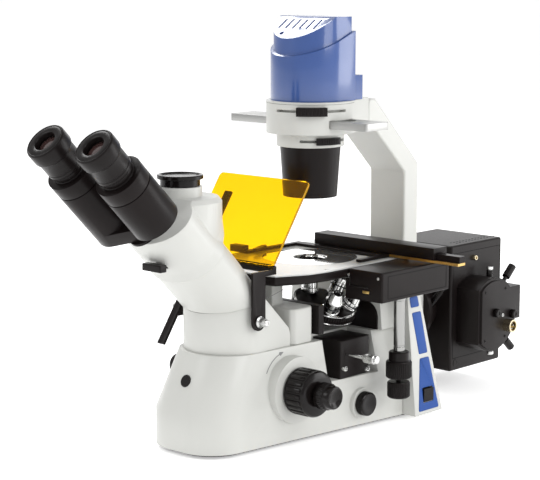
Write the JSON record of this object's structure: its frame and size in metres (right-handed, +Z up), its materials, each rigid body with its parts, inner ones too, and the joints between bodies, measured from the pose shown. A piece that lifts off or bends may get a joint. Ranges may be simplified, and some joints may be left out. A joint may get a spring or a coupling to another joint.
{
  "type": "inverted microscope",
  "caption": "Inverted laboratory microscope with a trinocular head, objectives under a mechanical stage, an overhead lamp arm, an amber shield and a rear lamp house.",
  "frame": {"origin": "on the table plane, under the optical axis of the objective in use", "axes": "+X to the user's right, +Y from the eyepieces to the rear lamp house, +Z up"},
  "size_m": [0.294, 0.6905, 0.471],
  "materials": {
    "white_paint": "satin",
    "blue_cover": "satin",
    "black_metal": "satin",
    "black_plastic": "matte",
    "pale_stage": "gloss",
    "chrome": "polished",
    "steel": "satin",
    "brass": "satin",
    "rubber": "matte",
    "amber": "gloss",
    "glass": "polished"
  },
  "bodies": {
    "stand": {"base_casting": "white_paint", "front_tower": "white_paint", "focus_block": "white_paint", "rear_housing": "white_paint", "trinocular_head": "white_paint", "illumination_arm": "white_paint", "lamp_carrier": "white_paint", "condenser_collar": "white_paint", "lamp_cover": "blue_cover", "blue_inlays": "blue_cover", "floor_plate": "black_metal", "arch_liner": "black_metal", "filter_box": "black_metal", "stage_casting": "black_metal", "drive_housing": "black_metal", "condenser_barrel": "black_metal", "lamp_house": "black_metal", "end_housing": "black_metal", "collector_tube": "black_metal", "hinge_pin": "black_metal", "power_inlet": "black_plastic", "stage_sheet": "pale_stage", "stage_insert": "pale_stage", "drive_tube": "chrome", "clamp_screws": "chrome", "lamp_connector": "brass", "rubber_feet": "rubber", "condenser_lens": "glass"},
    "coarse": {"coarse_sleeve": "steel", "coarse_knobs": "black_plastic"},
    "fine": {"fine_shaft": "steel", "fine_knobs": "black_plastic"},
    "carriage": {"nosepiece_carriage": "black_metal"},
    "turret_body": {"turret": "black_metal", "objectives": "chrome"},
    "stage_y": {"guide_bar": "black_metal"},
    "stage_x": {"rack_strip": "black_metal", "brass_rack": "brass", "specimen_holder": "black_metal"},
    "finger": {"clamp_finger": "black_metal"},
    "knob_y": {"upper_knob": "black_plastic"},
    "knob_x": {"lower_knob": "black_plastic"},
    "bright": {"brightness_knob": "black_plastic"},
    "rocker": {"power_rocker": "black_plastic"},
    "filter": {"filter_slider": "chrome"},
    "phase": {"phase_slider": "steel"},
    "field": {"field_lever": "black_plastic"},
    "aperture": {"aperture_lever": "black_plastic"},
    "tube_right": {"prism_tube_right": "black_metal"},
    "tube_left": {"prism_tube_left": "black_metal"},
    "ocular_right": {"eyepiece_right": "black_plastic", "eye_lens_right": "glass"},
    "ocular_left": {"eyepiece_left": "black_plastic", "eye_lens_left": "glass"},
    "selector": {"beam_selector": "black_plastic"},
    "cap": {"port_cap": "black_plastic"},
    "shield": {"amber_shield": "amber", "shield_holder": "black_metal"},
    "adjuster_upper": {"lamp_adjuster_upper": "black_plastic"},
    "adjuster_lower": {"lamp_adjuster_lower": "black_plastic"}
  },
  "joints": [
    {"name": "nosepiece_slide", "type": "slide", "parent": "stand", "child": "carriage", "axis": [0, 0, 1], "range_m": [-0.006, 0.001]},
    {"name": "coarse_focus", "type": "hinge", "parent": "stand", "child": "coarse", "pos_m": [0, -0.097, 0.0625], "axis": [1, 0, 0], "range_deg": [-73, 13]},
    {"name": "fine_focus", "type": "hinge", "parent": "stand", "child": "fine", "pos_m": [0, -0.097, 0.0625], "axis": [1, 0, 0], "continuous": true},
    {"name": "turret_turn", "type": "hinge", "parent": "carriage", "child": "turret_body", "pos_m": [0.024, 0, 0.143], "axis": [0.342, 0, 0.9397], "continuous": true},
    {"name": "stage_y_slide", "type": "slide", "parent": "stand", "child": "stage_y", "axis": [0, 1, 0], "range_m": [-0.039, 0.039]},
    {"name": "stage_x_slide", "type": "slide", "parent": "stage_y", "child": "stage_x", "axis": [1, 0, 0], "range_m": [-0.057, 0.057]},
    {"name": "clamp_swing", "type": "hinge", "parent": "stage_x", "child": "finger", "pos_m": [-0.0677, -0.005, 0.197], "axis": [0, 0, 1], "range_deg": [-15, 0], "stiffness_Nm_per_rad": 0.05, "springref_deg": 5.73},
    {"name": "upper_drive", "type": "hinge", "parent": "stand", "child": "knob_y", "pos_m": [0.106, 0.035, 0.075], "axis": [0, 0, 1], "range_deg": [-480, 480]},
    {"name": "lower_drive", "type": "hinge", "parent": "stand", "child": "knob_x", "pos_m": [0.106, 0.035, 0.046], "axis": [0, 0, 1], "range_deg": [-700, 700]},
    {"name": "brightness_turn", "type": "hinge", "parent": "stand", "child": "bright", "pos_m": [0.08, 0.003, 0.031], "axis": [1, 0, 0], "range_deg": [0, 270]},
    {"name": "power_switch", "type": "hinge", "parent": "stand", "child": "rocker", "pos_m": [0.09599, 0.099, 0.02667], "axis": [0, 1, 0], "range_deg": [-7, 0]},
    {"name": "filter_slide", "type": "slide", "parent": "stand", "child": "filter", "axis": [1, 0, 0], "range_m": [-0.02, 0.02]},
    {"name": "phase_slide", "type": "slide", "parent": "stand", "child": "phase", "axis": [1, 0, 0], "range_m": [-0.055, 0.055]},
    {"name": "field_turn", "type": "hinge", "parent": "stand", "child": "field", "pos_m": [0, 0, 0.366], "axis": [0, 0, 1], "range_deg": [-25, 25]},
    {"name": "aperture_turn", "type": "hinge", "parent": "stand", "child": "aperture", "pos_m": [0, 0, 0.33], "axis": [0, 0, 1], "range_deg": [-25, 25]},
    {"name": "tube_right_swing", "type": "hinge", "parent": "stand", "child": "tube_right", "pos_m": [0, -0.2627, 0.2507], "axis": [0, -0.7071, 0.7071], "range_deg": [-36, 0]},
    {"name": "tube_left_swing", "type": "hinge", "parent": "stand", "child": "tube_left", "pos_m": [0, -0.2627, 0.2507], "axis": [0, -0.7071, 0.7071], "range_deg": [0, 36]},
    {"name": "diopter_right", "type": "hinge", "parent": "tube_right", "child": "ocular_right", "pos_m": [0.037, -0.2627, 0.2507], "axis": [0, -0.7071, 0.7071], "range_deg": [-90, 90]},
    {"name": "diopter_left", "type": "hinge", "parent": "tube_left", "child": "ocular_left", "pos_m": [-0.037, -0.2627, 0.2507], "axis": [0, -0.7071, 0.7071], "range_deg": [-90, 90]},
    {"name": "beam_select", "type": "slide", "parent": "stand", "child": "selector", "axis": [1, 0, 0], "range_m": [-0.014, 0]},
    {"name": "cap_lift", "type": "slide", "parent": "stand", "child": "cap", "axis": [0, 0, 1], "range_m": [0, 0.03]},
    {"name": "shield_tilt", "type": "hinge", "parent": "stand", "child": "shield", "pos_m": [0, -0.1465, 0.1455], "axis": [1, 0, 0], "range_deg": [0, 12]},
    {"name": "adjuster_upper_turn", "type": "hinge", "parent": "stand", "child": "adjuster_upper", "pos_m": [0.072, 0.247, 0.099], "axis": [0, 0.7431, 0.6691], "range_deg": [-180, 180]},
    {"name": "adjuster_lower_turn", "type": "hinge", "parent": "stand", "child": "adjuster_lower", "pos_m": [0.072, 0.247, 0.099], "axis": [0, 0.7431, -0.6691], "range_deg": [-180, 180]}
  ],
  "couplings": [
    {"joint": "coarse_focus", "follows": "nosepiece_slide", "rad_per_m": 209.44},
    {"joint": "upper_drive", "follows": "stage_y_slide", "rad_per_m": 209.44},
    {"joint": "lower_drive", "follows": "stage_x_slide", "rad_per_m": 209.44},
    {"joint": "tube_left_swing", "follows": "tube_right_swing", "ratio": -1}
  ]
}
